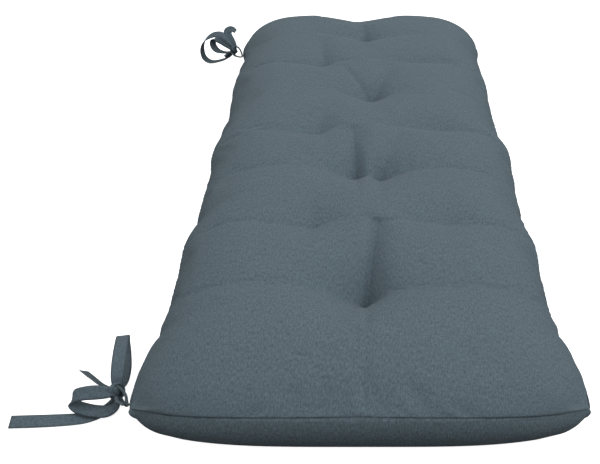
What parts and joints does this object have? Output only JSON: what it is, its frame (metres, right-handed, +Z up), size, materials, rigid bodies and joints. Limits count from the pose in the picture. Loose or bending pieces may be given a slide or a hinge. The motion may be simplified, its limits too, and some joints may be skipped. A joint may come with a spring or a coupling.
{
  "type": "tufted bench cushion with fabric ties",
  "caption": "Long padded bench cushion, drawn down by rows of sewn tufts, with fabric tie straps sewn into the seam along one long side.",
  "frame": {"origin": "middle of the flat underside, on the surface that the cushion lies on", "axes": "+Z up out of the seat, +Y along the cushion, +X across it, away from the side with the ties"},
  "size_m": [0.6543, 1.2184, 0.0992],
  "materials": {
    "cover": "matte woven melange canvas, slate blue-grey",
    "ties": "matte woven melange canvas, folded and stitched"
  },
  "bodies": {
    "root": {"cushion": "cover", "tie_near": "ties", "tie_far": "ties"}
  },
  "joints": []
}
